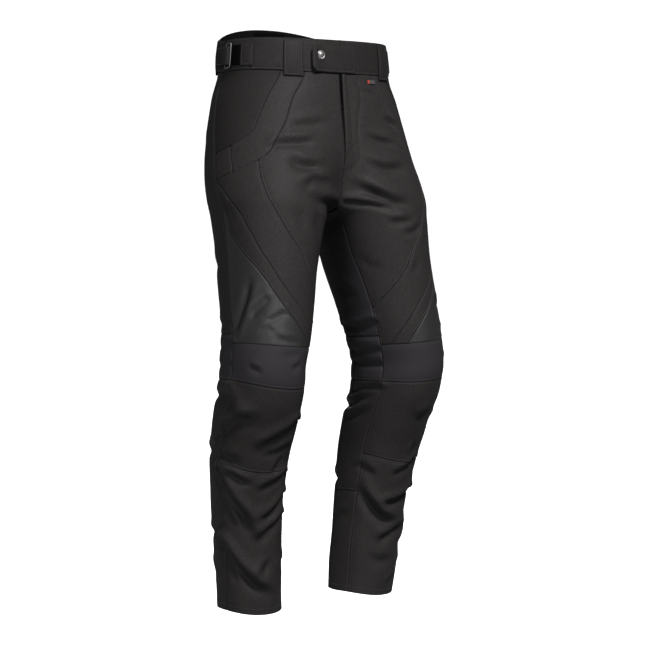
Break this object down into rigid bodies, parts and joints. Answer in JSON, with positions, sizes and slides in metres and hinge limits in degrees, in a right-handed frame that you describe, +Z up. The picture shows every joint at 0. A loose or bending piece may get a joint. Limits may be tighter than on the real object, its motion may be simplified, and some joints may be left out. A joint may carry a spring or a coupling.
{
  "type": "motorcycle trousers",
  "caption": "Black softshell motorcycle trousers in their worn form: panelled legs with bent knees, stretch knee bands, a waistband with closing tab, loops and side adjusters.",
  "frame": {"origin": "centre of the waist at the middle of the waistband's height at the sides, where the wearer holds it up", "axes": "+Z up, the wearer faces -Y, +X towards the wearer's left"},
  "size_m": [0.4321, 0.3054, 1.0592],
  "materials": {
    "softshell": "matt charcoal black softshell",
    "stretch_cloth": "matt dark grey stretch cloth with a fine rib",
    "side_cloth": "black cloth with a soft sheen",
    "webbing": "black woven tape",
    "dark_metal": "dark nickel"
  },
  "bodies": {
    "root": {"front_panel_right": "softshell", "front_panel_left": "softshell", "hip_band_right": "softshell", "hip_band_left": "softshell", "hip_band_end_right": "softshell", "hip_band_end_left": "softshell", "side_hip_panel_right": "softshell", "side_hip_panel_left": "softshell", "thigh_panel_right": "softshell", "thigh_panel_left": "softshell", "diagonal_band_right": "softshell", "diagonal_band_left": "softshell", "side_panel_right": "side_cloth", "side_panel_left": "side_cloth", "knee_band_right": "stretch_cloth", "knee_band_left": "stretch_cloth", "shin_panel_right": "softshell", "shin_panel_left": "softshell", "lower_front_right": "softshell", "lower_front_left": "softshell", "inner_thigh_right": "stretch_cloth", "inner_thigh_left": "stretch_cloth", "inner_knee_right": "stretch_cloth", "inner_knee_left": "stretch_cloth", "inner_calf_right": "softshell", "inner_calf_left": "softshell", "inner_hem_right": "softshell", "inner_hem_left": "softshell", "back_yoke_right": "softshell", "back_yoke_left": "softshell", "back_panel_right": "softshell", "back_panel_left": "softshell", "back_knee_right": "stretch_cloth", "back_knee_left": "stretch_cloth", "back_calf_right": "softshell", "back_calf_left": "softshell", "waistband_front_right": "softshell", "waistband_front_left": "softshell", "waistband_back": "softshell", "front_tab": "softshell", "snap_cap": "dark_metal", "belt_loop_front_right": "softshell", "belt_loop_front_left": "softshell", "belt_loop_side_right": "softshell", "belt_loop_side_left": "softshell", "belt_loop_back": "softshell", "adjuster_patch_right": "softshell", "adjuster_webbing_right": "webbing", "adjuster_strap_right": "softshell", "adjuster_ring_right": "dark_metal", "adjuster_patch_left": "softshell", "adjuster_webbing_left": "webbing", "adjuster_strap_left": "softshell", "adjuster_ring_left": "dark_metal", "fly_flap": "softshell", "seam_tab": "webbing", "inside_label": "webbing"}
  },
  "joints": []
}
